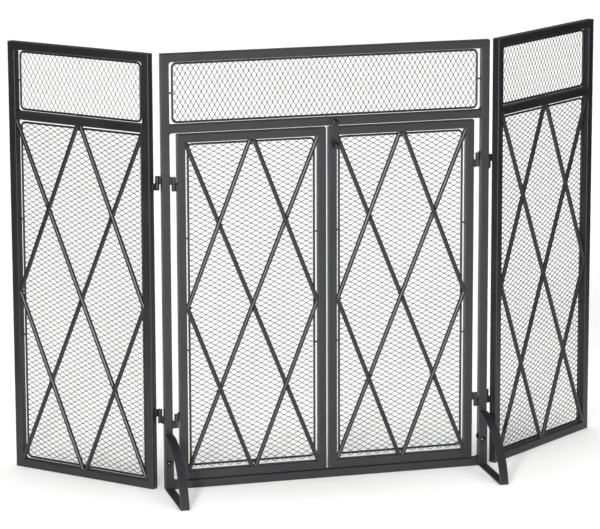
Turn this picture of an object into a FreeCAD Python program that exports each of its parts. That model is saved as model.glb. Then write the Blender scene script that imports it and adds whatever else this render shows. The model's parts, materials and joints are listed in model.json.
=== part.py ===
import FreeCAD, Part
import math
import os

# Folding fireplace screen: a square-tube centre panel with two hinged doors under a mesh strip,
# two side wings folded back, two bowed strap feet and a turning latch. Millimetres, +Z up.
# Origin: middle of the centre panel's thickness, half-way along its bottom rail, on the floor.
# The room side is -Y and the fire side is +Y. "Left" and "right" are as seen from the room.

# Driving dimensions
PANEL_WIDTH = 610.0
PANEL_HEIGHT = 800.0
WING_WIDTH = 304.0
TUBE = 15.0
TUBE_WALL = 1.2
TUBE_EDGE_RADIUS = 1.5
MIDDLE_RAIL_TOP = 672.0

DOOR_SIDE_GAP = 13.5
DOOR_MEETING_GAP = 5.0
DOOR_BOTTOM = 17.0
DOOR_TOP = 654.0

LEFT_WING_FOLD = 45.0
RIGHT_WING_FOLD = 36.0
WING_PIN_FROM_PANEL = 4.8
WING_PIN_FROM_WING = 5.0
WING_PIN_BEHIND_TUBE = 3.0
DOOR_PIN_BEHIND_FRONT = 2.0

KNUCKLE_RADIUS = 4.0
KNUCKLE_LENGTH = 12.5
KNUCKLE_GAP = 0.4
PIN_RADIUS = 2.0
PIN_CLEARANCE = 0.05
LEAF_THICKNESS = 3.0
LEAF_DEPTH = 10.5
LEFT_UPPER_HINGE = 565.0
RIGHT_UPPER_DOOR_HINGE = 580.0
RIGHT_UPPER_WING_HINGE = 573.0
DOOR_LOWER_HINGE = 128.0
LEFT_LOWER_WING_HINGE = 135.0
RIGHT_LOWER_WING_HINGE = 128.0

WIRE_RADIUS = 2.0
WIRE_BEND_RADIUS = 8.0
WIRE_DEPTH = 1.6
STRIP_WIRE_INSET = 7.2
DOOR_WIRE_SIDE_INSET = 5.8
DOOR_WIRE_TOP_INSET = 4.4
DOOR_WIRE_BOTTOM_INSET = 9.6
WING_WIRE_TOP_INSET = 5.5
WING_WIRE_BOTTOM_INSET = 4.4
STRIP_WIRE_END_INSET = 3.6
MESH_THICKNESS = 0.6
TAB_RADIUS = 1.5
TAB_HEIGHTS_LOWER = (0.37, 0.71)
TAB_HEIGHT_STRIP = 0.5

ROD_RADIUS = 4.0
ROD_STANDOUT = 1.0
ROD_APEX_OFFSET = 3.6
ROD_SIDE_INSET = 1.5

FOOT_WIDTH = 16.0
FOOT_THICKNESS = 3.0
FOOT_HEIGHT = 104.0
FOOT_REACH = 131.0
FOOT_BOW = 31.0
FOOT_HEEL_RADIUS = 8.0
FOOT_TOE_RADIUS = 3.5
FOOT_SCREW_HEIGHT = 50.0
SIDE_SCREW_HEIGHT = 55.0
SCREW_HEAD_RADIUS = 6.0
SCREW_HEAD_HEIGHT = 3.2
SCREW_SHANK_RADIUS = 2.5

LATCH_X = 12.0
LATCH_Z = 664.5
LATCH_WIDTH = 16.0
LATCH_THICKNESS = 2.5
LATCH_DROP = 41.5
LATCH_TAIL = 5.5
SPACER_RADIUS = 7.0
SPACER_THICKNESS = 1.5
LATCH_PLAY = 0.1
RIVET_RADIUS = 3.0
RIVET_HEAD_RADIUS = 5.8
RIVET_HEAD_HEIGHT = 3.6
KNOB_RADIUS = 7.0
KNOB_NECK_RADIUS = 3.4
KNOB_NECK_LENGTH = 2.0

HALF = TUBE / 2
FRONT = -HALF
PANEL_HALF = PANEL_WIDTH / 2
MIDDLE_RAIL_BOTTOM = MIDDLE_RAIL_TOP - TUBE
ROD_DEPTH = FRONT - ROD_STANDOUT + ROD_RADIUS
LATTICE_FRONT = FRONT - ROD_STANDOUT - 1
MESH_FRONT = WIRE_DEPTH + WIRE_RADIUS
DOOR_OUTER = PANEL_HALF - TUBE - DOOR_SIDE_GAP
DOOR_INNER = DOOR_MEETING_GAP / 2
DOOR_PIN = (PANEL_HALF - TUBE - DOOR_SIDE_GAP / 2, FRONT + DOOR_PIN_BEHIND_FRONT)
WING_PIN = (PANEL_HALF + WING_PIN_FROM_PANEL, HALF + WING_PIN_BEHIND_TUBE)
WING_START = WING_PIN[0] + WING_PIN_FROM_WING
WING_END = WING_START + WING_WIDTH

UP = FreeCAD.Vector(0, 0, 1)
TO_ROOM = FreeCAD.Vector(0, -1, 0)


def vec(x, y, z):
    return FreeCAD.Vector(x, y, z)


def box(x0, x1, y0, y1, z0, z1):
    low_x = min(x0, x1)
    return Part.makeBox(abs(x1 - x0), y1 - y0, z1 - z0, vec(low_x, y0, z0))


def save(name, solids):
    """Write one node: a single solid, or a group of separate solids."""
    shape = solids[0] if len(solids) == 1 else Part.makeCompound(solids)
    shape.exportStep(os.path.join("parts", name + ".step"))


def rounded_bar(x0, x1, z0, z1, shrink, radius):
    """A square bar filling the box, its four long edges rounded, made smaller all round by shrink."""
    along_z = z1 - z0 > abs(x1 - x0)
    bar = box(
        min(x0, x1) + (shrink if along_z else 0),
        max(x0, x1) - (shrink if along_z else 0),
        FRONT + shrink,
        HALF - shrink,
        z0 + (0 if along_z else shrink),
        z1 - (0 if along_z else shrink),
    )
    length = (z1 - z0) if along_z else abs(x1 - x0)
    long_edges = [e for e in bar.Edges if abs(e.Length - length) < 1e-6]
    return bar.makeFillet(radius, long_edges)


def tube(x0, x1, z0, z1):
    """A hollow square tube along its longer side."""
    outer = rounded_bar(x0, x1, z0, z1, 0, TUBE_EDGE_RADIUS)
    return outer.cut(rounded_bar(x0, x1, z0, z1, TUBE_WALL, TUBE_EDGE_RADIUS - TUBE_WALL))


def mitred(shape, corners):
    """Keep what lies inside the outline, given as (x, z) corners, over the tube's depth."""
    points = [vec(x, FRONT - 1, z) for x, z in corners]
    face = Part.Face(Part.makePolygon(points + points[:1]))
    return shape.common(face.extrude(vec(0, TUBE + 2, 0))).Solids[0]


def tube_frame(x0, x1, z0, z1):
    """Four mitred tubes round a rectangle: (low-x stile, high-x stile, top rail, bottom rail)."""
    inner = (x0 + TUBE, x1 - TUBE, z0 + TUBE, z1 - TUBE)
    low = mitred(
        tube(x0, inner[0], z0, z1),
        [(x0, z0), (inner[0], inner[2]), (inner[0], inner[3]), (x0, z1)],
    )
    high = mitred(
        tube(inner[1], x1, z0, z1),
        [(x1, z0), (inner[1], inner[2]), (inner[1], inner[3]), (x1, z1)],
    )
    top = mitred(
        tube(x0, x1, inner[3], z1),
        [(x0, z1), (inner[0], inner[3]), (inner[1], inner[3]), (x1, z1)],
    )
    bottom = mitred(
        tube(x0, x1, z0, inner[2]),
        [(x0, z0), (inner[0], inner[2]), (inner[1], inner[2]), (x1, z0)],
    )
    return low, high, top, bottom


def wire_frame(x0, x1, z0, z1):
    """A round wire bent into a rectangle with rounded corners. The box is the wire's centre line."""
    r = WIRE_BEND_RADIUS
    y = WIRE_DEPTH
    sides = [
        ((x0 + r, z0), (x1 - r, z0)),
        ((x1, z0 + r), (x1, z1 - r)),
        ((x1 - r, z1), (x0 + r, z1)),
        ((x0, z1 - r), (x0, z0 + r)),
    ]
    bend = [(x1 - r, z0 + r, -45), (x1 - r, z1 - r, 45), (x0 + r, z1 - r, 135), (x0 + r, z0 + r, 225)]
    edges = []
    for number, (start, end) in enumerate(sides):
        edges.append(Part.makeLine(vec(start[0], y, start[1]), vec(end[0], y, end[1])))
        cx, cz, middle = bend[number]
        mx = cx + r * math.cos(math.radians(middle))
        mz = cz + r * math.sin(math.radians(middle))
        after = sides[(number + 1) % 4][0]
        edges.append(Part.Arc(vec(end[0], y, end[1]), vec(mx, y, mz), vec(after[0], y, after[1])).toShape())
    path = Part.Wire(edges)
    ring = Part.Wire(Part.makeCircle(WIRE_RADIUS, vec(x0 + r, y, z0), vec(1, 0, 0)))
    return path.makePipeShell([ring], True, False)


def mesh_sheet(x0, x1, z0, z1):
    """The mesh behind a wire frame, as a thin sheet with the frame's outer outline."""
    grow = WIRE_RADIUS
    sheet = box(x0 - grow, x1 + grow, MESH_FRONT, MESH_FRONT + MESH_THICKNESS, z0 - grow, z1 + grow)
    corners = [e for e in sheet.Edges if abs(e.Length - MESH_THICKNESS) < 1e-6]
    return sheet.makeFillet(WIRE_BEND_RADIUS + grow, corners)


def tab(tube_face, wire_centre, z):
    """A short pin that joins a tube's inner face to the wire beside it."""
    toward = 1 if wire_centre > tube_face else -1
    length = abs(wire_centre - tube_face) - WIRE_RADIUS
    return Part.makeCylinder(TAB_RADIUS, length, vec(tube_face, WIRE_DEPTH, z), vec(toward, 0, 0))


def tabs(inner, wire, heights):
    """Pins on both sides of a wire frame, at heights given as shares of the opening."""
    made = []
    for share in heights:
        z = inner[2] + share * (inner[3] - inner[2])
        made.append(tab(inner[0], wire[0], z))
        made.append(tab(inner[1], wire[1], z))
    return made


def rod(start, end):
    """A round rod between two (x, z) points, run on past both so that it can be trimmed."""
    a = vec(start[0], ROD_DEPTH, start[1])
    b = vec(end[0], ROD_DEPTH, end[1])
    along = (b - a).normalize()
    over = 4 * ROD_RADIUS
    return Part.makeCylinder(ROD_RADIUS, (b - a).Length + 2 * over, a - along * over, along)


def slab(start, end):
    """The space that a crossing rod takes: a slab one rod thick along the line between two points."""
    a = vec(start[0], 0, start[1])
    b = vec(end[0], 0, end[1])
    along = (b - a).normalize()
    across = vec(-along.z, 0, along.x)
    half = across * ROD_RADIUS
    over = along * (4 * ROD_RADIUS)
    corners = [a - over - half, b + over - half, b + over + half, a - over + half]
    for corner in corners:
        corner.y = LATTICE_FRONT
    return Part.Face(Part.makePolygon(corners + corners[:1])).extrude(vec(0, HALF - LATTICE_FRONT, 0))


def lattice(inner, falling_whole):
    """Eleven rods across an opening. Four make a rhombus between the middles of the sides. They stand
    side by side at top and bottom and meet a little inside the opening at left and right. The two
    corner diagonals are cut where they meet the rhombus, and one of them is also cut at the middle."""
    x0, x1, z0, z1 = inner
    xm = (x0 + x1) / 2
    zm = (z0 + z1) / 2
    rhombus = []
    sides = []
    for x_side, z_side in ((x0, z1), (x1, z1), (x1, z0), (x0, z0)):
        toward = 1 if x_side > xm else -1
        ends = ((xm + toward * ROD_APEX_OFFSET, z_side), (x_side - toward * ROD_SIDE_INSET, zm))
        quarter = box(xm, x_side, LATTICE_FRONT, HALF, min(zm, z_side), max(zm, z_side))
        rhombus.append(rod(*ends).common(quarter))
        sides.append(slab(*ends))
    falling = ((x0, z1), (x1, z0))
    rising = ((x0, z0), (x1, z1))
    whole, cut = (falling, rising) if falling_whole else (rising, falling)
    opening = box(x0, x1, LATTICE_FRONT, HALF, z0, z1)
    whole_parts = rod(*whole).common(opening).cut(Part.makeCompound(sides))
    cut_parts = rod(*cut).common(opening).cut(Part.makeCompound(sides + [slab(*whole)]))
    return [q.Solids[0] for q in rhombus] + whole_parts.Solids + cut_parts.Solids


def panel_filling(x0, x1, z0, z1, insets, heights):
    """Wire frame, mesh and tabs in the opening. insets: side, bottom, top from the opening's edge."""
    side, bottom, top = insets
    wire = (x0 + side, x1 - side, z0 + bottom, z1 - top)
    return wire_frame(*wire), mesh_sheet(*wire), tabs((x0, x1, z0, z1), wire, heights)


def knuckle(pin, z0, bore, side, leaf_face, leaf_y):
    """One hinge knuckle with its weld leaf. leaf_face is the x of the tube face that the leaf lies
    on, side says on which side of the leaf that face is, and leaf_y is the leaf's (low, high) y."""
    barrel = Part.makeCylinder(KNUCKLE_RADIUS, KNUCKLE_LENGTH, vec(pin[0], pin[1], z0))
    leaf = box(leaf_face, leaf_face - side * LEAF_THICKNESS, leaf_y[0], leaf_y[1], z0, z0 + KNUCKLE_LENGTH)
    hole = Part.makeCylinder(bore, KNUCKLE_LENGTH, vec(pin[0], pin[1], z0))
    return barrel.fuse(leaf).cut(hole).Solids[0]


def hinge_levels(middle, fixed_on_top):
    """Bottoms of the (fixed, moving) knuckles of a hinge centred at middle."""
    upper = middle + KNUCKLE_GAP / 2
    lower = middle - KNUCKLE_GAP / 2 - KNUCKLE_LENGTH
    return (upper, lower) if fixed_on_top else (lower, upper)


def hinge_pin(pin, middle):
    length = 2 * KNUCKLE_LENGTH + KNUCKLE_GAP
    return Part.makeCylinder(PIN_RADIUS, length, vec(pin[0], pin[1], middle - length / 2))


def door_hinge(side, middle, fixed_on_top):
    """(fixed knuckle, moving knuckle, pin) between the centre stile and a door."""
    pin = (side * DOOR_PIN[0], DOOR_PIN[1])
    fixed_z, moving_z = hinge_levels(middle, fixed_on_top)
    leaf_y = (pin[1] - 1.5, pin[1] - 1.5 + LEAF_DEPTH)
    fixed = knuckle(pin, fixed_z, PIN_RADIUS, side, side * (PANEL_HALF - TUBE), leaf_y)
    moving = knuckle(pin, moving_z, PIN_RADIUS + PIN_CLEARANCE, -side, side * DOOR_OUTER, leaf_y)
    return fixed, moving, hinge_pin(pin, middle)


def wing_hinge(side, middle, fixed_on_top):
    """(fixed knuckle, moving knuckle with the wing unfolded, pin) between centre stile and wing."""
    pin = (side * WING_PIN[0], WING_PIN[1])
    fixed_z, moving_z = hinge_levels(middle, fixed_on_top)
    leaf_y = (pin[1] - LEAF_DEPTH, pin[1])
    fixed = knuckle(pin, fixed_z, PIN_RADIUS, -side, side * PANEL_HALF, leaf_y)
    moving = knuckle(pin, moving_z, PIN_RADIUS + PIN_CLEARANCE, side, side * WING_START, leaf_y)
    return fixed, moving, hinge_pin(pin, middle)


def centre_panel():
    """The fixed frame, with the mesh strip across its top."""
    left, right, top, bottom = tube_frame(-PANEL_HALF, PANEL_HALF, 0, PANEL_HEIGHT)
    inside = PANEL_HALF - TUBE
    middle = tube(-inside, inside, MIDDLE_RAIL_BOTTOM, MIDDLE_RAIL_TOP)
    middle = middle.cut(
        Part.makeCylinder(RIVET_RADIUS, TUBE + 2, vec(LATCH_X, HALF + 1, LATCH_Z), TO_ROOM)
    )
    holes = [screw_hole(*s) for side in (-1, 1) for s in foot_screw_places(side)]
    left = left.cut(Part.makeCompound(holes)).Solids[0]
    right = right.cut(Part.makeCompound(holes)).Solids[0]
    insets = (STRIP_WIRE_INSET, STRIP_WIRE_END_INSET, STRIP_WIRE_END_INSET)
    strip = (-inside, inside, MIDDLE_RAIL_TOP, PANEL_HEIGHT - TUBE)
    wire, mesh, pins = panel_filling(*strip, insets, (TAB_HEIGHT_STRIP,))
    save("centre_left_stile", [left])
    save("centre_right_stile", [right])
    save("centre_top_rail", [top])
    save("centre_middle_rail", [middle.Solids[0]])
    save("centre_bottom_rail", [bottom])
    save("centre_mesh_frame", [wire])
    save("centre_mesh", [mesh])
    save("centre_mesh_tabs", pins)


def ordered(side, a, b):
    """Two distances from the middle, as (low x, high x) on that side."""
    return (a, b) if side > 0 else (-b, -a)


def door(name, side, hinge_knuckles):
    x0, x1 = ordered(side, DOOR_INNER, DOOR_OUTER)
    low, high, top, bottom = tube_frame(x0, x1, DOOR_BOTTOM, DOOR_TOP)
    inner = (x0 + TUBE, x1 - TUBE, DOOR_BOTTOM + TUBE, DOOR_TOP - TUBE)
    insets = (DOOR_WIRE_SIDE_INSET, DOOR_WIRE_BOTTOM_INSET, DOOR_WIRE_TOP_INSET)
    wire, mesh, pins = panel_filling(*inner, insets, TAB_HEIGHTS_LOWER)
    meeting, hinged = (low, high) if side > 0 else (high, low)
    save(name + "_meeting_stile", [meeting])
    save(name + "_hinge_stile", [hinged])
    save(name + "_top_rail", [top])
    save(name + "_bottom_rail", [bottom])
    save(name + "_mesh_frame", [wire])
    save(name + "_mesh", [mesh])
    save(name + "_mesh_tabs", pins)
    save(name + "_lattice_rods", lattice(inner, falling_whole=False))
    save(name + "_hinge_knuckles", hinge_knuckles)


def wing(name, side, fold, hinge_knuckles):
    """A wing, built unfolded in line with the centre panel and then turned back about its pin."""
    x0, x1 = ordered(side, WING_START, WING_END)
    low, high, top, bottom = tube_frame(x0, x1, 0, PANEL_HEIGHT)
    middle = tube(x0 + TUBE, x1 - TUBE, MIDDLE_RAIL_BOTTOM, MIDDLE_RAIL_TOP)
    strip = (x0 + TUBE, x1 - TUBE, MIDDLE_RAIL_TOP, PANEL_HEIGHT - TUBE)
    lower = (x0 + TUBE, x1 - TUBE, TUBE, MIDDLE_RAIL_BOTTOM)
    strip_insets = (STRIP_WIRE_INSET, STRIP_WIRE_END_INSET, STRIP_WIRE_END_INSET)
    lower_insets = (STRIP_WIRE_INSET, WING_WIRE_BOTTOM_INSET, WING_WIRE_TOP_INSET)
    upper_wire, upper_mesh, upper_pins = panel_filling(*strip, strip_insets, (TAB_HEIGHT_STRIP,))
    lower_wire, lower_mesh, lower_pins = panel_filling(*lower, lower_insets, TAB_HEIGHTS_LOWER)
    hinged, outer = (low, high) if side > 0 else (high, low)
    nodes = {
        "outer_stile": [outer],
        "hinge_stile": [hinged],
        "top_rail": [top],
        "middle_rail": [middle],
        "bottom_rail": [bottom],
        "upper_mesh_frame": [upper_wire],
        "upper_mesh": [upper_mesh],
        "lower_mesh_frame": [lower_wire],
        "lower_mesh": [lower_mesh],
        "mesh_tabs": upper_pins + lower_pins,
        "lattice_rods": lattice(lower, falling_whole=True),
        "hinge_knuckles": hinge_knuckles,
    }
    pin = vec(side * WING_PIN[0], WING_PIN[1], 0)
    for node, solids in nodes.items():
        turned = [s.copy() for s in solids]
        for solid in turned:
            solid.rotate(pin, UP, side * fold)
        save(name + "_" + node, turned)


def foot(side):
    """A flat bar bent into a closed loop: up the stile, bowed forward and down, and back on the floor."""
    back = FRONT
    toe = FRONT - FOOT_REACH
    chord = math.hypot(FOOT_REACH, FOOT_HEIGHT)
    out_y = -FOOT_HEIGHT / chord
    out_z = FOOT_REACH / chord
    top = vec(0, back, FOOT_HEIGHT)
    tip = vec(0, toe, 0)
    bow = (top + tip) * 0.5 + vec(0, out_y * FOOT_BOW, out_z * FOOT_BOW)
    heel = vec(0, back, 0)
    edges = [
        Part.makeLine(heel, top),
        Part.Arc(top, bow, tip).toShape(),
        Part.makeLine(tip, heel),
    ]
    outer = Part.Face(Part.Wire(edges)).extrude(vec(FOOT_WIDTH, 0, 0))
    inner_wire = Part.Wire(edges).makeOffset2D(-FOOT_THICKNESS)
    hollow = Part.Face(inner_wire).extrude(vec(FOOT_WIDTH, 0, 0))

    def corner_edge(shape, y, z, reach):
        return [
            e for e in shape.Edges
            if abs(e.Length - FOOT_WIDTH) < 1e-6
            and math.hypot(e.Vertexes[0].Y - y, e.Vertexes[0].Z - z) < reach
        ]

    outer = outer.makeFillet(FOOT_HEEL_RADIUS, corner_edge(outer, back, 0, 0.1))
    outer = outer.makeFillet(FOOT_TOE_RADIUS, corner_edge(outer, toe, 0, 0.1))
    inner_heel = (back - FOOT_THICKNESS, FOOT_THICKNESS)
    hollow = hollow.makeFillet(FOOT_HEEL_RADIUS - FOOT_THICKNESS, corner_edge(hollow, *inner_heel, 0.1))
    loop = outer.cut(hollow)
    loop.translate(vec(side * (PANEL_HALF - HALF) - FOOT_WIDTH / 2, 0, 0))
    return loop.Solids[0]


def dome(radius, height, base, direction):
    """A round head: the cap of a sphere, standing on base."""
    ball_radius = (radius * radius + height * height) / (2 * height)
    ball = Part.makeSphere(ball_radius, base - direction * (ball_radius - height))
    keep = Part.makeCylinder(radius + 1, height + 1, base, direction)
    return ball.common(keep)


def foot_screw_places(side):
    """(base of head, outward direction, shank length) of the screw through a foot's upright and of
    the screw in the inner face of the stile behind it."""
    stile = side * (PANEL_HALF - HALF)
    inner_face = side * (PANEL_HALF - TUBE)
    through_foot = vec(stile, FRONT - FOOT_THICKNESS, FOOT_SCREW_HEIGHT)
    in_side = vec(inner_face, 0, SIDE_SCREW_HEIGHT)
    return (
        (through_foot, TO_ROOM, FOOT_THICKNESS + TUBE_WALL),
        (in_side, vec(-side, 0, 0), TUBE_WALL),
    )


def screw_hole(head_base, direction, shank_length):
    return Part.makeCylinder(SCREW_SHANK_RADIUS, shank_length, head_base, direction * -1)


def screw(head_base, direction, shank_length):
    head = dome(SCREW_HEAD_RADIUS, SCREW_HEAD_HEIGHT, head_base, direction)
    return head.fuse(screw_hole(head_base, direction, shank_length)).Solids[0]


def feet():
    """Both feet, each held by a screw through its upright, with a second screw in the stile's side."""
    screws = []
    for side, name in ((-1, "left"), (1, "right")):
        places = foot_screw_places(side)
        save(name + "_foot", [foot(side).cut(screw_hole(*places[0])).Solids[0]])
        screws += [screw(*place) for place in places]
    save("foot_screws", screws)


def latch():
    """A flat bar on a rivet through the middle rail, hanging over the right door, with a ball knob."""
    bar_back = FRONT - SPACER_THICKNESS - LATCH_PLAY
    bar_front = bar_back - LATCH_THICKNESS
    head_base = bar_front - LATCH_PLAY
    centre = vec(LATCH_X, 0, LATCH_Z)

    def disc(radius, y_back, y_front):
        base = centre + vec(0, y_back, 0)
        return Part.makeCylinder(radius, y_back - y_front, base, TO_ROOM)

    end = LATCH_Z - LATCH_DROP - LATCH_TAIL
    half = LATCH_WIDTH / 2
    strap = box(LATCH_X - half, LATCH_X + half, bar_front, bar_back, end, LATCH_Z)
    strap = strap.fuse(disc(half, bar_back, bar_front)).removeSplitter()
    strap = strap.cut(disc(RIVET_RADIUS + PIN_CLEARANCE, bar_back + 1, bar_front - 1))

    shank = disc(RIVET_RADIUS, HALF, head_base)
    head = dome(RIVET_HEAD_RADIUS, RIVET_HEAD_HEIGHT, centre + vec(0, head_base, 0), TO_ROOM)
    tail = dome(RIVET_HEAD_RADIUS - 1, 1.5, centre + vec(0, HALF, 0), vec(0, 1, 0))
    rivet = shank.fuse([head, tail])

    spacer = disc(SPACER_RADIUS, FRONT, FRONT - SPACER_THICKNESS).cut(disc(RIVET_RADIUS, 0, bar_front))

    knob_base = vec(LATCH_X, bar_front, LATCH_Z - LATCH_DROP)
    neck = Part.makeCylinder(KNOB_NECK_RADIUS, KNOB_NECK_LENGTH + KNOB_RADIUS, knob_base, TO_ROOM)
    ball = Part.makeSphere(KNOB_RADIUS, knob_base + TO_ROOM * (KNOB_NECK_LENGTH + KNOB_RADIUS))
    save("latch_bar", [strap.Solids[0]])
    save("latch_rivet", [rivet.Solids[0]])
    save("latch_spacer", [spacer.Solids[0]])
    save("latch_knob", [neck.fuse(ball).Solids[0]])


def main():
    os.makedirs("parts", exist_ok=True)
    centre_panel()
    feet()
    latch()

    # Each side: (name, side, fold, (upper door, lower door), (upper wing, lower wing)),
    # a hinge being (height of its middle, whether the fixed knuckle is the top one).
    sides = (
        ("left", -1, LEFT_WING_FOLD,
         ((LEFT_UPPER_HINGE, True), (DOOR_LOWER_HINGE, False)),
         ((LEFT_UPPER_HINGE, True), (LEFT_LOWER_WING_HINGE, False))),
        ("right", 1, RIGHT_WING_FOLD,
         ((RIGHT_UPPER_DOOR_HINGE, True), (DOOR_LOWER_HINGE, False)),
         ((RIGHT_UPPER_WING_HINGE, False), (RIGHT_LOWER_WING_HINGE, True))),
    )
    pins = []
    for name, side, fold, door_hinges, wing_hinges in sides:
        on_doors = [door_hinge(side, *h) for h in door_hinges]
        on_wings = [wing_hinge(side, *h) for h in wing_hinges]
        save(name + "_frame_knuckles", [h[0] for h in on_doors + on_wings])
        pins += [h[2] for h in on_doors + on_wings]
        door(name + "_door", side, [h[1] for h in on_doors])
        wing(name + "_wing", side, fold, [h[1] for h in on_wings])
    save("hinge_pins", pins)


main()
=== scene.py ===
import json
import math

import bpy
import numpy as np
from mathutils import Matrix, Vector

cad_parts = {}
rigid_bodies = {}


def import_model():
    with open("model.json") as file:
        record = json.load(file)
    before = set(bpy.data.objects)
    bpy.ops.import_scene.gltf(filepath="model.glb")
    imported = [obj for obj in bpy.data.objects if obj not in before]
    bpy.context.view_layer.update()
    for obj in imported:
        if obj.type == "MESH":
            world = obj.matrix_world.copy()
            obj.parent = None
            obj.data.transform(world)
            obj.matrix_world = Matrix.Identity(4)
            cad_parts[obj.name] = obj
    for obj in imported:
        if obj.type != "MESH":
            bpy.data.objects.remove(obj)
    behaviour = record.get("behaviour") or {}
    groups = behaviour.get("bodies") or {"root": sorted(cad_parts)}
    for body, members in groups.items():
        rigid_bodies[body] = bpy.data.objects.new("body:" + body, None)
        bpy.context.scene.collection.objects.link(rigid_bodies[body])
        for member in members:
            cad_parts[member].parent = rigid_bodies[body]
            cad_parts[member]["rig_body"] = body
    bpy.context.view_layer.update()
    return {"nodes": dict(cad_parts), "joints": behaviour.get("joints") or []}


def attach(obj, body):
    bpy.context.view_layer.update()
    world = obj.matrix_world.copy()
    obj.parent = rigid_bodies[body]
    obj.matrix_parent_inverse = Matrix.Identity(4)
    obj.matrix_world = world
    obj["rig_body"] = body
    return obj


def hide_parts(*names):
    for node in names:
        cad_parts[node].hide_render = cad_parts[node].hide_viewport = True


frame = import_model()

# The visible pieces of a folding fireplace screen, built round its CAD frame. Metres, +Z up.
# The room side is -Y. Each wing is worked out flat, in line with the centre panel, and then
# turned back about its hinge pin to where it stands.

bl_info = {
    "name": "Fireplace Screen",
    "version": (1, 0, 0),
    "blender": (4, 5, 0),
    "location": "View3D > Sidebar > Fire Screen",
    "description": "Builds the tubes, wires, mesh, rods, hinges, feet and latch of a fireplace screen",
    "category": "Object",
}

MM = 0.001
FULL_TURN = 2 * math.pi
PANELS = ("centre", "left_wing", "right_wing", "left_door", "right_door")
WINGS = ("left_wing", "right_wing")
DOORS = ("left_door", "right_door")
SHARP_ANGLE = math.radians(38)
LEAF_THICKNESS = 3 * MM
RIVET_SHANK_RADIUS = 3 * MM
RIVET_PLAY = 0.1 * MM
SIDES = {"left": -1, "right": 1}


# ---- places read from the frame

def joint(child):
    return next(j for j in frame["joints"] if j["child"] == child)


def unfold_angle(body):
    """The turn about +Z, in radians, that brings a wing in line with the centre panel."""
    hinge = joint(body)
    return math.radians(hinge["range_deg"][0]) * hinge["axis"][2]


def turned(points, body, angle):
    """Points turned about the body's hinge pin, which is upright."""
    pin = np.array(joint(body)["pos_m"][:2])
    c, s = math.cos(angle), math.sin(angle)
    out = np.array(points, float)
    flat = out[..., :2] - pin
    out[..., 0] = pin[0] + flat[..., 0] * c - flat[..., 1] * s
    out[..., 1] = pin[1] + flat[..., 0] * s + flat[..., 1] * c
    return out


def folded(points, body):
    """Points worked out for a wing in line, put where the wing stands. Other bodies stay."""
    return turned(points, body, -unfold_angle(body)) if body in WINGS else points


def cad_points(node):
    """The corner points of a CAD node, with a wing's turned in line."""
    mesh = frame["nodes"][node].data
    points = np.empty(len(mesh.vertices) * 3)
    mesh.vertices.foreach_get("co", points)
    points = points.reshape(-1, 3)
    body = body_of(node)
    return turned(points, body, unfold_angle(body)) if body in WINGS else points


def body_of(node):
    return frame["nodes"][node]["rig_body"]


def span(node):
    """(lowest, highest) corner of a CAD node, a wing's measured with the wing in line."""
    points = cad_points(node)
    return points.min(0), points.max(0)


def levels(points):
    """The ends of the separate upright pieces in a group of points, as (bottom, top) pairs."""
    heights = np.unique(np.round(points[:, 2], 4))
    return heights.reshape(-1, 2)


# ---- surfaces

def outward(points, faces):
    """Turns the faces of one closed shell outward. The sum over each face of the volume between
    the origin and the face's fan of triangles is positive when they point outward."""
    volume = 0.0
    for group in faces:
        p = points[group]
        volume += np.einsum("ij,ikj->", p[:, 0], np.cross(p[:, 1:-1], p[:, 2:]))
    return points, faces if volume > 0 else [g[:, ::-1] for g in faces]


def skin(rings, loop=False, edge=None):
    """One closed shell from rings of points, shaped (ring, point, xyz). Neighbouring rings are
    joined by quads, and the end rings are filled unless the rings make a loop. edge says how much
    of an edge each point of a ring is, 0 to 1, for wear."""
    n, m = rings.shape[:2]
    i = np.arange(n if loop else n - 1)[:, None]
    j = np.arange(m)[None, :]
    here, after = i * m, (i + 1) % n * m
    beside = (j + 1) % m
    quads = np.stack([here + j, here + beside, after + beside, after + j], -1).reshape(-1, 4)
    ends = [] if loop else [np.arange(m)[None, ::-1], (n - 1) * m + np.arange(m)[None, :]]
    points, faces = outward(rings.reshape(-1, 3), [quads] + ends)
    wear = np.zeros(m) if edge is None else edge
    return points, faces, np.tile(wear, n)


def add_piece(name, node, shells, material, replaces=True):
    """A mesh object from closed shells, riding on the node's body and standing for the node."""
    body = body_of(node)
    points = folded(np.concatenate([s[0] for s in shells]), body)
    starts = np.cumsum([0] + [len(s[0]) for s in shells[:-1]])
    groups = [g + start for s, start in zip(shells, starts) for g in s[1]]
    sizes = np.concatenate([np.full(len(g), g.shape[1]) for g in groups])
    mesh = bpy.data.meshes.new(name)
    mesh.vertices.add(len(points))
    mesh.vertices.foreach_set("co", points.astype(np.float32).ravel())
    mesh.loops.add(int(sizes.sum()))
    mesh.loops.foreach_set("vertex_index", np.concatenate([g.ravel() for g in groups]).astype(np.int32))
    mesh.polygons.add(len(sizes))
    mesh.polygons.foreach_set("loop_start", (np.cumsum(sizes) - sizes).astype(np.int32))
    wear = mesh.attributes.new("edge", "FLOAT", "POINT")
    wear.data.foreach_set("value", np.concatenate([s[2] for s in shells]).astype(np.float32))
    mesh.update(calc_edges=True)
    mesh.validate()
    mesh.polygons.foreach_set("use_smooth", np.ones(len(mesh.polygons), bool))
    mesh.set_sharp_from_angle(angle=SHARP_ANGLE)
    mesh.materials.append(material)
    piece = bpy.data.objects.new(name, mesh)
    bpy.context.scene.collection.objects.link(piece)
    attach(piece, body)
    if replaces:
        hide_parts(node)


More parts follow.
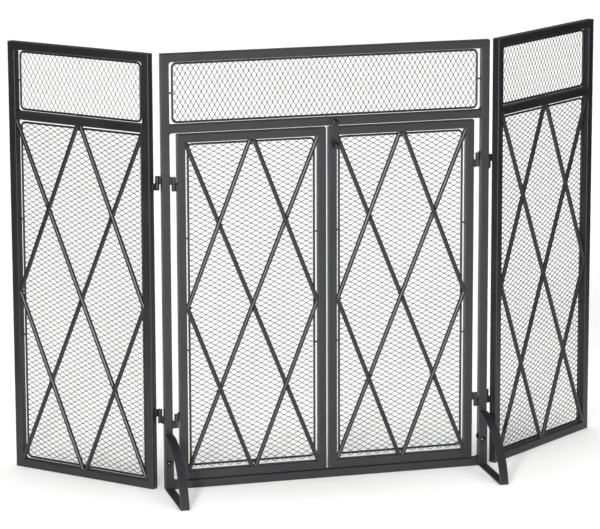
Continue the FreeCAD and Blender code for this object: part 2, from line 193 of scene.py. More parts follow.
def rounded_outline(half_a, half_b, radius, steps=4, support=0.2 * MM):
    """A rectangle with rounded corners, as points (a, b), and how much of an edge each one is.
    Each corner is a quarter circle of radius about a centre set in by radius, with one more
    point a little along the flat on each side to keep the flats flat."""
    turn = np.radians(np.linspace(0, 90, steps + 1))
    a = np.concatenate([[0.0], np.sin(turn), [1.0]]) * radius
    b = np.concatenate([[1.0], np.cos(turn), [0.0]]) * radius
    corner = np.stack([half_a - radius + a, half_b - radius + b], 1)
    corner[0, 0] -= support
    corner[-1, 1] -= support
    weight = np.concatenate([[0.0], np.sin(2 * turn) * 0.5 + 0.5, [0.0]])
    flips = ((1, 1), (1, -1), (-1, -1), (-1, 1))
    quarters = [corner[:: 1 if p * q > 0 else -1] * (p, q) for p, q in flips]
    return np.concatenate(quarters), np.tile(weight, 4)


def circle(radius, count):
    turn = np.linspace(0, FULL_TURN, count, endpoint=False)
    return np.stack([np.cos(turn), np.sin(turn)], 1) * radius


def straight_tube(low, high, outer, groove, radius):
    """A square tube that fills a box along its longer side. Its outline is a rounded square carried
    from end to end. With outer, the across-position of the frame's outside face, each end
    is cut back by the distance from that face, which makes a mitre. Each end is drawn in by groove
    over twice that length, the fine line left where a weld has been ground flat."""
    along, across = (2, 0) if high[2] - low[2] > high[0] - low[0] else (0, 2)
    centre = (low + high) / 2
    half = (high[across] - low[across]) / 2
    outline, edge = rounded_outline(half, half, radius)

    def ring(end, inward, shrink, setback):
        points = np.empty((len(outline), 3))
        scale = 1 - shrink / half
        points[:, across] = centre[across] + outline[:, 0] * scale
        points[:, 1] = centre[1] + outline[:, 1] * scale
        slant = 0 if outer is None else np.abs(points[:, across] - outer)
        points[:, along] = end + inward * (slant + setback)
        return points

    steps = ((groove, 0), (0, 2 * groove), (0, 4 * groove))
    rings = [ring(low[along], 1, *step) for step in steps]
    rings += [ring(high[along], -1, *step) for step in steps[::-1]]
    return skin(np.array(rings), edge=edge)


def wire_loop(low, high, radius, bend, weld_swell):
    """A round wire bent into a rectangle. The centre line is four straight sides joined by quarter
    circles, and at each of its points a circle stands on the outward and the depth directions. The
    wire swells by a bell curve in the middle of the bottom side, where its ends are welded."""
    lo, hi = low + radius, high - radius
    y = (low[1] + high[1]) / 2
    turn = np.radians(np.linspace(0, 90, 9))
    centre, normal = [], []
    left, right, bottom, top = lo[0] + bend, hi[0] - bend, lo[2] + bend, hi[2] - bend
    for number, (cx, cz) in enumerate(((right, top), (left, top), (left, bottom), (right, bottom))):
        angle = turn + number * math.pi / 2
        facing = np.stack([np.cos(angle), 0 * angle, np.sin(angle)], 1)
        centre.append(np.array([cx, y, cz]) + facing * bend)
        normal.append(facing)
        if number == 2:
            middle = (lo[0] + hi[0]) / 2
            x = middle + np.linspace(-2.5, 2.5, 11) * radius
            centre.append(np.stack([x, 0 * x + y, 0 * x + lo[2]], 1))
            normal.append(np.tile([0.0, 0.0, -1.0], (len(x), 1)))
    centre, normal = np.concatenate(centre), np.concatenate(normal)
    from_weld = (centre[:, 0] - (lo[0] + hi[0]) / 2) / radius
    at_bottom = np.abs(centre[:, 2] - lo[2]) < 1e-6
    swell = 1 + weld_swell * np.exp(-(from_weld**2)) * at_bottom
    section = circle(radius, 14)
    out = section[None, :, :1] * normal[:, None] + section[None, :, 1:] * np.array([0.0, 1.0, 0.0])
    return skin(centre[:, None] + out * swell[:, None, None], loop=True)


def expanded_sheet(low, high, upright, corner, hang, sizes):
    """Expanded metal: a slit sheet pulled open. Each strand is a bar of oblong section that follows
    a wave of straight slopes and short flats, half a short pitch above the one before and half
    a long pitch out of step with it, so that its low flats sit on the high flats of the one below.
    It also leans to and fro in depth with the wave. Strands are cut off at a rectangle with
    rounded corners, or square ones at the bottom where the sheet hangs below its wire by hang."""
    s, t = (2, 0) if upright else (0, 2)
    wide = sizes.strip_strand_width if upright else sizes.strand_width
    low = low - (0, 0, hang)
    step = sizes.short_pitch / 2
    middle = (low + high) / 2
    count = int((high[t] - low[t]) / step) - 1
    level = middle[t] + (np.arange(count) - (count - 1) / 2) * step
    odd = (np.arange(count) % 2) * 0.5

    from_top = high[t] - level
    near_edge = np.maximum(corner - (from_top if hang else np.minimum(level - low[t], from_top)), 0)
    inset = corner - np.sqrt(np.maximum(corner**2 - near_edge**2, 0))
    start = (low[s] + inset)[:, None]
    stop = (high[s] - inset)[:, None]

    half_flat = sizes.bond_length / 2 / sizes.long_pitch
    cells = int((high[s] - low[s]) / sizes.long_pitch / 2) + 2
    marks = np.array([-half_flat, half_flat, 0.5 - half_flat, 0.5 + half_flat])
    phase = (np.arange(-cells, cells)[:, None] + marks).ravel()
    run = middle[s] + (phase[None, :] + odd[:, None]) * sizes.long_pitch
    run = np.clip(run, start, stop)
    turn = np.mod((run - middle[s]) / sizes.long_pitch - odd[:, None], 1)
    wave = np.clip((0.25 - np.minimum(turn, 1 - turn)) / (0.25 - half_flat), -1, 1)
    rise = (step - wide) / 2

    line = np.zeros(run.shape + (3,))
    line[..., s] = run
    line[..., t] = level[:, None] + wave * rise
    line[..., 1] = low[1] + sizes.lean + sizes.strand_thickness / 2 + wave * sizes.lean
    tilt = math.radians(sizes.strand_tilt)
    section = np.array([(-1, -1), (1, -1), (1, 1), (-1, 1)]) * (wide / 2, sizes.strand_thickness / 2)
    points = np.repeat(line[:, :, None], 4, axis=2)
    points[..., t] += section[:, 0] * math.cos(tilt) - section[:, 1] * math.sin(tilt)
    points[..., 1] += section[:, 0] * math.sin(tilt) + section[:, 1] * math.cos(tilt)

    n = run.shape[1]
    real = np.diff(run, axis=1) > 1e-7
    first = np.argmax(real, axis=1)
    last = n - 1 - np.argmax(real[:, ::-1], axis=1)
    rows = np.arange(count)
    base = (rows[:, None] * n + np.arange(n - 1))[real][:, None] * 4
    k = np.arange(4)
    after = (k + 1) % 4
    quads = np.stack([base + k, base + after, base + 4 + after, base + 4 + k], -1).reshape(-1, 4)
    caps = np.concatenate([((rows * n + first) * 4)[:, None] + k[::-1], ((rows * n + last) * 4)[:, None] + k])
    faces = np.concatenate([quads, caps])
    used, renumbered = np.unique(faces, return_inverse=True)
    points, faces = outward(points.reshape(-1, 3)[used], [renumbered.reshape(faces.shape)])
    return points, faces, np.zeros(len(points))


def cut_rod(a, b, a_cuts, b_cuts, y, radius):
    """A round rod along the line from a to b, both (x, z). Its outline is a circle, and each line of
    the rod's surface runs until the nearest of the cutting planes at that end. A plane is (point,
    normal). The last part of each end is drawn in a little, as a sawn and brushed end is."""
    a, b = np.array(a), np.array(b)
    way = (b - a) / np.linalg.norm(b - a)
    across = np.array([-way[1], way[0]])
    outline = circle(radius, 20)

    def reach(cuts, shrink):
        return [
            (np.dot(np.subtract(point, a), normal) - outline[:, 0] * shrink * np.dot(across, normal))
            / np.dot(way, normal)
            for point, normal in cuts
        ]

    def ring(cuts, nearest, shrink, setback):
        t = nearest(reach(cuts, shrink), axis=0) + setback
        flat = a + t[:, None] * way + outline[:, :1] * shrink * across
        return np.stack([flat[:, 0], y + outline[:, 1] * shrink, flat[:, 1]], 1)

    steps = ((0.9, 0), (1, radius * 0.12), (1, radius * 0.24))
    rings = [ring(a_cuts, np.max, shrink, setback) for shrink, setback in steps]
    rings += [ring(b_cuts, np.min, shrink, -setback) for shrink, setback in steps[::-1]]
    return skin(np.array(rings))


def side_planes(points, radius, toward):
    """The plane that touches the rod through two points, on the side that faces toward."""
    p, q = np.array(points, float)
    way = (q - p) / np.linalg.norm(q - p)
    normal = np.array([-way[1], way[0]])
    if np.dot(normal, np.subtract(toward, p)) < 0:
        normal = -normal
    return p + normal * radius, normal


def crossing(first, second):
    """Where the line through two (x, z) points meets another."""
    a, b = np.array(first, float)
    c, d = np.array(second, float)
    u, v = b - a, d - c
    share = np.cross(c - a, v) / np.cross(u, v)
    return a + share * u


def bead(centre, radii, seed):
    """A lump of weld: a flattened ball whose radius swells and sinks by two slow waves, one round it
    and one aslant, so that no two are alike."""
    theta = np.linspace(0.12, math.pi - 0.12, 7)[:, None]
    phi = np.linspace(0, FULL_TURN, 12, endpoint=False)[None, :]
    lump = 1 + 0.09 * np.sin(2 * phi + seed * 2.1) * np.sin(theta) + 0.07 * np.sin(3 * phi + 5 * theta + seed)
    x = np.sin(theta) * np.cos(phi) * lump * radii[0]
    y = np.sin(theta) * np.sin(phi) * lump * radii[1]
    z = (np.cos(theta) + 0 * phi) * lump * radii[2]
    return skin(np.asarray(centre) + np.stack([x, y, z], -1))


def turned_shape(centre, axis, profile, count=32):
    """A turned shape: a profile of (radius, height) carried round an axis. It starts and ends at
    a small radius, and the last ring is filled."""
    axis = np.asarray(axis, float)
    one = np.cross(axis, (0.0, 0.0, 1.0) if abs(axis[2]) < 0.9 else (1.0, 0.0, 0.0))
    one /= np.linalg.norm(one)
    two = np.cross(axis, one)
    ring = circle(1, count)
    out = ring[:, :1] * one + ring[:, 1:] * two
    rings = [np.asarray(centre) + out * r + axis * h for r, h in profile]
    return skin(np.array(rings))


def rounded_block(low, high, radius):
    """A small block, its outline in plan a rounded rectangle, drawn in by radius at top and bottom
    along a quarter circle."""
    half = (high - low) / 2
    centre = (high + low) / 2
    outline, edge = rounded_outline(half[0], half[1], radius, steps=3, support=0.05 * MM)
    turn = np.radians((0, 45, 90))
    draw = [(radius * (1 - math.sin(a)), half[2] - radius * (1 - math.cos(a))) for a in turn]
    heights = [(d, -h) for d, h in draw] + [(d, h) for d, h in draw[::-1]]
    rings = []
    for inset, height in heights:
        scale = 1 - inset / half[:2] * 0.8
        flat = outline * scale
        rings.append(np.stack([flat[:, 0], flat[:, 1], np.full(len(flat), height)], 1) + centre)
    return skin(np.array(rings), edge=edge)


def inward_of(line):
    """For each point of a closed line, the unit direction square to the way from the point before it
    to the one after it."""
    way = np.roll(line, -1, 0) - np.roll(line, 1, 0)
    way /= np.linalg.norm(way, axis=1)[:, None]
    return np.stack([-way[:, 1], way[:, 0]], 1)


def along(line, distance):
    """The points of an open line at these distances from its start, measured along it."""
    run = length_along(line)
    return np.stack([np.interp(distance, run, line[:, k]) for k in (0, 1)], -1)


def length_along(line):
    return np.concatenate([[0], np.cumsum(np.linalg.norm(np.diff(line, axis=0), axis=1))])


def plate(outline, y_back, y_front, radius):
    """A flat plate with softened edges. The outline, (x, z) points, is carried from back to front
    and drawn in toward its inside by a quarter circle at both faces."""
    inward = inward_of(outline)
    turn = np.radians((0, 30, 60, 90))
    steps = [(radius * (1 - math.sin(a)), y_front + radius * (1 - math.cos(a))) for a in turn]
    steps += [(radius * (1 - math.sin(a)), y_back - radius * (1 - math.cos(a))) for a in turn[::-1]]
    rings = []
    for inset, y in steps:
        flat = outline + inward * inset
        rings.append(np.stack([flat[:, 0], np.full(len(flat), y), flat[:, 1]], 1))
    return skin(np.array(rings))


# ---- sizes and finishes

def linear(code):
    """An sRGB hex colour as linear red, green and blue."""
    values = np.array([int(code[i:i + 2], 16) / 255 for i in (0, 2, 4)])
    return tuple(np.where(values <= 0.04045, values / 12.92, ((values + 0.055) / 1.055) ** 2.4))


def length(name, description, millimetres):
    return bpy.props.FloatProperty(
        name=name, description=description, default=millimetres * MM, min=0, precision=5, unit="LENGTH"
    )


def colour(name, description, code):
    return bpy.props.FloatVectorProperty(
        name=name, description=description, default=linear(code), min=0, max=1, subtype="COLOR"
    )


class TubeSizes(bpy.types.PropertyGroup):
    edge_radius: length("Edge radius", "Radius of the square tube's long edges", 1.5)
    weld_groove: length("Weld groove", "Depth of the fine line where two tubes are welded", 0.2)
    weld_bead: length("Weld bead", "Radius of the weld in an inside corner", 2.0)


class WireSizes(bpy.types.PropertyGroup):
    bend_radius: length("Bend radius", "Radius of the wire's corners, to its centre line", 8.0)
    weld_swell: bpy.props.FloatProperty(
        name="Weld swell", description="How much the wire thickens at its butt weld", default=0.18, min=0, max=1
    )


class MeshSizes(bpy.types.PropertyGroup):
    long_pitch: length("Long pitch", "Length of a diamond, middle of bond to middle of bond", 17.0)
    short_pitch: length("Short pitch", "Width of a diamond, middle of bond to middle of bond", 9.65)
    bond_length: length("Bond length", "Length of the flat where two strands meet", 2.4)
    strand_width: length("Strand width", "Width of one strand in the doors and wings", 1.0)
    strip_strand_width: length("Strip strand width", "Width of one strand in the strips across the top", 0.8)
    door_overhang: length("Door overhang", "How far the doors' mesh hangs below its wire", 7.0)
    strand_thickness: length("Strand thickness", "Thickness of the sheet", 0.7)
    lean: length("Lean", "How far a strand leans forward and back", 0.25)
    strand_tilt: bpy.props.FloatProperty(
        name="Strand tilt", description="Tilt of a strand's section, in degrees", default=24.0, min=0, max=60
    )


class RodSizes(bpy.types.PropertyGroup):
    apex_offset: length("Apex offset", "How far a rhombus rod stands from the middle at top and bottom", 3.6)
    side_inset: length("Side inset", "How far inside the opening the rhombus rods cross at the sides", 1.5)
    bead_radius: length("Bead radius", "Radius of the weld lumps at the rods' joints", 2.6)


class FootSizes(bpy.types.PropertyGroup):
    reach: length("Reach", "How far the foot stands out in front of the panel", 131.0)
    bow: length("Bow", "How far the curve stands out from the straight line between its ends", 31.0)
    thickness: length("Thickness", "Thickness of the flat bar", 3.0)
    heel_radius: length("Heel radius", "Outer radius of the bend at the heel", 8.0)
    toe_radius: length("Toe radius", "Outer radius of the bend at the toe", 3.5)
    edge_radius: length("Edge radius", "Radius of the bar's edges", 0.6)


class ScrewSizes(bpy.types.PropertyGroup):
    head_radius: length("Head radius", "Radius of the domed head", 6.0)
    head_height: length("Head height", "Height of the domed head", 3.2)
    foot_height: length("Foot screw height", "Height of the screw through the foot", 50.0)
    side_height: length("Side screw height", "Height of the screw in the stile's inner side", 55.0)


class Finishes(bpy.types.PropertyGroup):
    coat: colour("Powder coat", "Satin black powder coat on tubes, rods, wires and feet", "202022")
    coat_worn: colour("Rubbed coat", "The same coat where edges are rubbed", "38383B")
    enamel: colour("Enamel", "Baked black enamel on the expanded metal", "1B1B1D")
    lacquer: colour("Knob lacquer", "Black lacquer on the knob", "161618")
    floor: colour("Floor", "Pale seamless floor", "F4F4F3")


SETTINGS = {
    "screen_tubes": TubeSizes,
    "screen_wires": WireSizes,
    "screen_mesh": MeshSizes,
    "screen_rods": RodSizes,
    "screen_feet": FootSizes,
    "screen_screws": ScrewSizes,
    "screen_finishes": Finishes,
}
GROUPS = tuple(SETTINGS.values())


def node(tree, kind, inputs=None, **settings):
    """Adds a shader node. inputs maps a socket to a value or to the socket that feeds it."""
    made = tree.nodes.new(kind)
    for name, value in settings.items():
        setattr(made, name, value)
    for name, value in (inputs or {}).items():
        if isinstance(value, bpy.types.NodeSocket):
            tree.links.new(value, made.inputs[name])
        else:
            made.inputs[name].default_value = value
    return made


def new_material(name):
    found = bpy.data.materials.get(name)
    if found:
        return found, None
    material = bpy.data.materials.new(name)
    material.use_nodes = True
    material.node_tree.nodes.clear()
    return material, material.node_tree


def coated_steel(name, base, worn, roughness, peel_depth, rubbed):
    """Powder-coated or enamelled steel. A slow cloud of 70 mm varies the tone and the gloss as
    a sprayed coat does, a 1.4 mm ripple is the orange peel of the cured powder, and a 9 mm cloud
    breaks up the rub along edges."""
    material, tree = new_material(name)
    if tree is None:
        return material
    place = node(tree, "ShaderNodeTexCoord").outputs["Object"]
    cloud = node(tree, "ShaderNodeTexNoise", {"Vector": place, "Scale": 1 / 0.07, "Detail": 3.0})
    patch = node(tree, "ShaderNodeTexNoise", {"Vector": place, "Scale": 1 / 0.009, "Detail": 4.0})
    peel = node(tree, "ShaderNodeTexNoise", {"Vector": place, "Scale": 1 / 0.0014, "Detail": 1.0})
    tone = node(
        tree, "ShaderNodeMapRange",
        {"Value": cloud.outputs["Fac"], "From Min": 0.3, "From Max": 0.7, "To Min": 0.0, "To Max": 0.22},
    )
    edge = node(tree, "ShaderNodeAttribute", attribute_name="edge")
    broken = node(
        tree, "ShaderNodeMapRange",
        {"Value": patch.outputs["Fac"], "From Min": 0.42, "From Max": 0.62, "To Min": 0.15, "To Max": rubbed},
    )
    rub = node(
        tree, "ShaderNodeMath", {0: edge.outputs["Fac"], 1: broken.outputs["Result"]}, operation="MULTIPLY"
    )
    amount = node(
        tree, "ShaderNodeMath", {0: rub.outputs[0], 1: tone.outputs["Result"]}, operation="ADD", use_clamp=True
    )
    mix = node(
        tree, "ShaderNodeMix",
        {"Factor": amount.outputs[0], 6: (*base, 1.0), 7: (*worn, 1.0)}, data_type="RGBA",
    )
    gloss = node(
        tree, "ShaderNodeMapRange",
        {"Value": cloud.outputs["Fac"], "From Min": 0.3, "From Max": 0.7,
         "To Min": roughness - 0.04, "To Max": roughness + 0.05},
    )
    bump = node(
        tree, "ShaderNodeBump", {"Height": peel.outputs["Fac"], "Strength": 0.5, "Distance": peel_depth}
    )
    shader = node(
        tree, "ShaderNodeBsdfPrincipled",
        {"Base Color": mix.outputs[2], "Roughness": gloss.outputs["Result"], "Normal": bump.outputs["Normal"],
         "IOR": 1.5},
    )
    node(tree, "ShaderNodeOutputMaterial", {"Surface": shader.outputs["BSDF"]})
    return material


def finish(name, field, roughness, peel_depth, rubbed):
    """Coated steel in one of the colours that the user sets."""
    colours = bpy.context.scene.screen_finishes
    return coated_steel(name, getattr(colours, field), colours.coat_worn, roughness, peel_depth, rubbed)


def powder_coat():
    """Satin black powder coat, sprayed and baked: soft broad highlights, a faint orange peel."""
    return finish("powder_coat_black_satin", "coat", 0.42, 0.03 * MM, 0.6)


def drawn_rod_coat():
    """The powder coat on drawn rod, where it flows out smoother and shines more."""
    return finish("powder_coat_on_rod", "coat", 0.3, 0.008 * MM, 0.0)


def baked_enamel():
    """Dipped and baked enamel on expanded metal: flatter than the powder coat, no rubbed edges."""
    return finish("baked_enamel_black", "enamel", 0.55, 0.02 * MM, 0.0)


def coated_weld():
    """Powder coat over weld bead: the same colour, with the ripple of the bead under it."""
    return finish("powder_coat_over_weld", "coat", 0.36, 0.12 * MM, 0.0)


def knob_lacquer():
    """Black lacquer on turned steel: smoother and glossier than the powder coat."""
    return finish("lacquer_black", "lacquer", 0.2, 0.004 * MM, 0.0)


# ---- operators

FRAME_NODES = {
    "centre": ("centre_left_stile", "centre_right_stile", "centre_top_rail", "centre_bottom_rail"),
    **{p: tuple(f"{p}_{n}" for n in (first, "hinge_stile", "top_rail", "bottom_rail"))
       for first, panels in (("outer_stile", WINGS), ("meeting_stile", DOORS)) for p in panels},
}
MIDDLE_RAILS = ("centre_middle_rail", "left_wing_middle_rail", "right_wing_middle_rail")


def panel_box(panel):
    spans = [span(n) for n in FRAME_NODES[panel]]
    return np.min([s[0] for s in spans], 0), np.max([s[1] for s in spans], 0)


class SCREEN_OT_tubes(bpy.types.Operator):
    """Build the mitred square tubes of every panel"""

    bl_idname = "screen.tubes"
    bl_label = "Square tubes"

    def execute(self, context):
        sizes = context.scene.screen_tubes
        coat = powder_coat()
        for panel in PANELS:
            panel_low, panel_high = panel_box(panel)
            for name in FRAME_NODES[panel]:
                low, high = span(name)
                across = 0 if "stile" in name else 2
                at_low = low[across] - panel_low[across] < panel_high[across] - high[across]
                outer = panel_low[across] if at_low else panel_high[across]
                tube = straight_tube(low, high, outer, sizes.weld_groove, sizes.edge_radius)
                add_piece(name + "_tube", name, [tube], coat)
        for name in MIDDLE_RAILS:
            tube = straight_tube(*span(name), None, sizes.weld_groove, sizes.edge_radius)
            add_piece(name + "_tube", name, [tube], coat)
        return {"FINISHED"}


class SCREEN_OT_corner_welds(bpy.types.Operator):
    """Build the welds in the inside corners of every panel"""

    bl_idname = "screen.corner_welds"
    bl_label = "Corner welds"

    def execute(self, context):
        radius = context.scene.screen_tubes.weld_bead
        coat = coated_weld()
        for panel in PANELS:
            low, high = panel_box(panel)
            side = FRAME_NODES[panel][0]
            tube = span(side)[1][0] - span(side)[0][0]
            heights = [(low[2] + tube, 1), (high[2] - tube, -1)]
            if panel not in DOORS:
                rail_low, rail_high = span(panel + "_middle_rail")
                heights += [(rail_low[2], -1), (rail_high[2], 1)]
            shells = []
            for x, inward in ((low[0] + tube, 1), (high[0] - tube, -1)):
                for z, up in heights:
                    for step, y in enumerate(np.linspace(low[1] + radius, high[1] - radius, 5)):
                        where = (x + inward * 0.35 * radius, y, z + up * 0.35 * radius)
                        shells.append(bead(where, (radius * 0.8, radius, radius * 0.8), step + 3 * x + z))
            add_piece(panel + "_corner_welds", side, shells, coat, replaces=False)
        return {"FINISHED"}


WIRES = ("centre_mesh_frame",) + tuple(f"{w}_{n}_mesh_frame" for w in WINGS for n in ("upper", "lower"))
WIRES += tuple(d + "_mesh_frame" for d in DOORS)


class SCREEN_OT_wires(bpy.types.Operator):
    """Build the wire loops that hold the mesh, and give the tabs that join them to the tubes the coated-weld
    finish
    """

    bl_idname = "screen.wires"
    bl_label = "Wire loops"

    def execute(self, context):
        sizes = context.scene.screen_wires
        coat = powder_coat()
        for name in WIRES:
            low, high = span(name)
            radius = (high[1] - low[1]) / 2
            loop = wire_loop(low, high, radius, sizes.bend_radius, sizes.weld_swell)
            add_piece(name + "_wire", name, [loop], coat)
        for panel in PANELS:
            name = panel + "_mesh_tabs"
            frame["nodes"][name].data.materials.clear()
            frame["nodes"][name].data.materials.append(coated_weld())
        return {"FINISHED"}


class SCREEN_OT_mesh(bpy.types.Operator):
    """Build the expanded metal. The strips across the top have their diamonds upright"""

    bl_idname = "screen.mesh"
    bl_label = "Expanded metal"

    def execute(self, context):
        sizes = context.scene.screen_mesh
        corner = context.scene.screen_wires.bend_radius
        enamel = baked_enamel()
        strips = ("centre_mesh", "left_wing_upper_mesh", "right_wing_upper_mesh")
        sheets = ("left_wing_lower_mesh", "right_wing_lower_mesh", "left_door_mesh", "right_door_mesh")
        for name in strips + sheets:
            hang = sizes.door_overhang if "door" in name else 0
            shell = expanded_sheet(*span(name), name in strips, corner, hang, sizes)
            add_piece(name + "_strands", name, [shell], enamel)
        return {"FINISHED"}


class SCREEN_OT_lattice(bpy.types.Operator):
    """Build the lattice rods and the welds where they meet"""

    bl_idname = "screen.lattice"
    bl_label = "Lattice rods"

    def execute(self, context):
        for panel in DOORS + WINGS:
            self.build(panel, context.scene.screen_rods)
        return {"FINISHED"}

    def build(self, panel, sizes):
        name = panel + "_lattice_rods"
        low, high = span(name)
        radius = (high[1] - low[1]) / 2
        y = low[1] + radius
        x0, z0, x1, z1 = low[0], low[2], high[0], high[2]
        middle = ((x0 + x1) / 2, (z0 + z1) / 2)
        shells, beads = [], []
        up, aside = np.array([0.0, 1.0]), np.array([1.0, 0.0])

        def rhombus_side(x, z):
            toward = math.copysign(1, x - middle[0])
            return (middle[0] + toward * sizes.apex_offset, z), (x - toward * sizes.side_inset, middle[1])

        for x, z in ((x0, z1), (x1, z1), (x1, z0), (x0, z0)):
            a, b = rhombus_side(x, z)
            shells.append(cut_rod(a, b, [(a, up), (middle, aside)], [((x, z), aside), (middle, up)], y, radius))

        falling, rising = ((x0, z1), (x1, z0)), ((x0, z0), (x1, z1))
        whole, cut = (falling, rising) if panel in WINGS else (rising, falling)
        for line, split in ((whole, False), (cut, True)):
            start, end = np.array(line)
            first, last = rhombus_side(*start), rhombus_side(*end)
            at_start, at_end = [(start, aside), (start, up)], [(end, aside), (end, up)]
            near, far = [side_planes(first, radius, start)], [side_planes(first, radius, end)]
            near_end, far_end = [side_planes(last, radius, end)], [side_planes(last, radius, start)]
            shells.append(cut_rod(start, end, at_start, near, y, radius))
            if split:
                before, after = side_planes(whole, radius, start), side_planes(whole, radius, end)
                shells.append(cut_rod(start, end, far, [before], y, radius))
                shells.append(cut_rod(start, end, [after], far_end, y, radius))
            else:
                shells.append(cut_rod(start, end, far, far_end, y, radius))
            shells.append(cut_rod(start, end, near_end, at_end, y, radius))
            way = (end - start) / np.linalg.norm(end - start)
            across = np.array([-way[1], way[0]])
            joints = [crossing(line, first), crossing(line, last)] + ([np.array(middle)] if split else [])
            for point in joints:
                for back in (-1, 1):
                    for off in (-1, 1):
                        beads.append(point + way * back * radius * 1.3 + across * off * radius * 0.8)
            for point, inward in ((start, 1), (end, -1)):
                for off in (-1, 1):
                    beads.append(point + way * inward * radius * 1.2 + across * off * radius * 0.8)
        for x, z in ((middle[0], z0), (middle[0], z1), (x0, middle[1]), (x1, middle[1])):
            inward = np.subtract(middle, (x, z))
            inward /= np.linalg.norm(inward)
            beads += [np.array([x, z]) + inward * radius * depth for depth in (0.5, 1.9)]

        add_piece(name + "_steel", name, shells, drawn_rod_coat())
        lump = sizes.bead_radius
        lumps = [
            bead((p[0], y + 0.1 * radius, p[1]), (lump * 0.75, lump, lump * 0.75), number)
            for number, p in enumerate(beads)
        ]
        add_piece(panel + "_lattice_welds", name, lumps, coated_weld(), replaces=False)


class SCREEN_OT_hinges(bpy.types.Operator):
    """Build the hinge barrels with their leaves, the pins and the welds that hold them"""

    bl_idname = "screen.hinges"
    bl_label = "Hinges"

    def execute(self, context):
        coat, weld = powder_coat(), coated_weld()
        groups = [("left_frame_knuckles", "left"), ("right_frame_knuckles", "right")]
        groups += [(p + "_hinge_knuckles", p.split("_")[0]) for p in WINGS + DOORS]
        for name, side in groups:
            shells, beads = [], []
            for body, points in self.by_pin(name, side):
                pin = joint(body)["pos_m"]
                for bottom, top in levels(points):
                    inside = (points[:, 2] > bottom - MM) & (points[:, 2] < top + MM)
                    low, high = points[inside].min(0), points[inside].max(0)
                    barrel, leaf, edges = self.knuckle(pin, low, high)
                    shells += [barrel, leaf]
                    beads += edges if body in DOORS else []
            add_piece(name + "_steel", name, shells, coat)
            if beads:
                add_piece(name + "_welds", name, beads, weld, replaces=False)
        self.pins(coat)
        return {"FINISHED"}

    def by_pin(self, name, side):
        """The node's points in groups, one for each hinge pin, by the pin that a point is nearest."""
        points = cad_points(name)
        bodies = [side + "_door", side + "_wing"] if "frame" in name else [body_of(name)]
        nearest = np.argmin([np.abs(points[:, 0] - joint(b)["pos_m"][0]) for b in bodies], axis=0)
        return [(b, points[nearest == number]) for number, b in enumerate(bodies)]

    def knuckle(self, pin, low, high):
        """A barrel round the pin and the leaf beside it, which runs to the side where the box is
        further from the pin."""
        to_low, to_high = pin[0] - low[0], high[0] - pin[0]
        radius = min(to_low, to_high)
        soft = 0.4 * MM
        bottom, top = low[2], high[2]
        profile = [
            (radius * 0.45, bottom), (radius - soft, bottom), (radius - 0.12 * soft, bottom + 0.5 * soft),
            (radius, bottom + soft), (radius, top - soft), (radius - 0.12 * soft, top - 0.5 * soft),
            (radius - soft, top), (radius * 0.45, top),
        ]
        barrel = turned_shape((pin[0], pin[1], 0), (0, 0, 1), profile, 28)
        face = low[0] if to_low > to_high else high[0]
        inner = face + math.copysign(LEAF_THICKNESS, pin[0] - face)
        ends = sorted((face, inner))
        leaf = rounded_block(np.array([ends[0], low[1], bottom]), np.array([ends[1], high[1], top]), 0.5 * MM)
        weld_x = face + math.copysign(0.9 * MM, pin[0] - face)
        edges = [
            bead((weld_x, y, z), (1.2 * MM, 1.6 * MM, 1.2 * MM), y * 900 + z)
            for z in (bottom, top)
            for y in np.linspace(max(low[1], -0.006), min(high[1], 0.006), 4)
        ]
        return barrel, leaf, edges

    def pins(self, coat):
        points = cad_points("hinge_pins")
        shells = []
        for body in WINGS + DOORS:
            pin = joint(body)["pos_m"]
            near = points[np.hypot(points[:, 0] - pin[0], points[:, 1] - pin[1]) < 4 * MM]
            radius = (near[:, 0].max() - near[:, 0].min()) / 2
            for bottom, top in levels(near):
                dome = 0.5 * MM
                profile = [
                    (radius * 0.3, bottom), (radius * 0.8, bottom + dome * 0.35), (radius, bottom + dome),
                    (radius, top - dome), (radius * 0.8, top - dome * 0.35), (radius * 0.3, top),
                ]
                shells.append(turned_shape((pin[0], pin[1], 0), (0, 0, 1), profile, 20))
        add_piece("hinge_pins_steel", "hinge_pins", shells, coat)


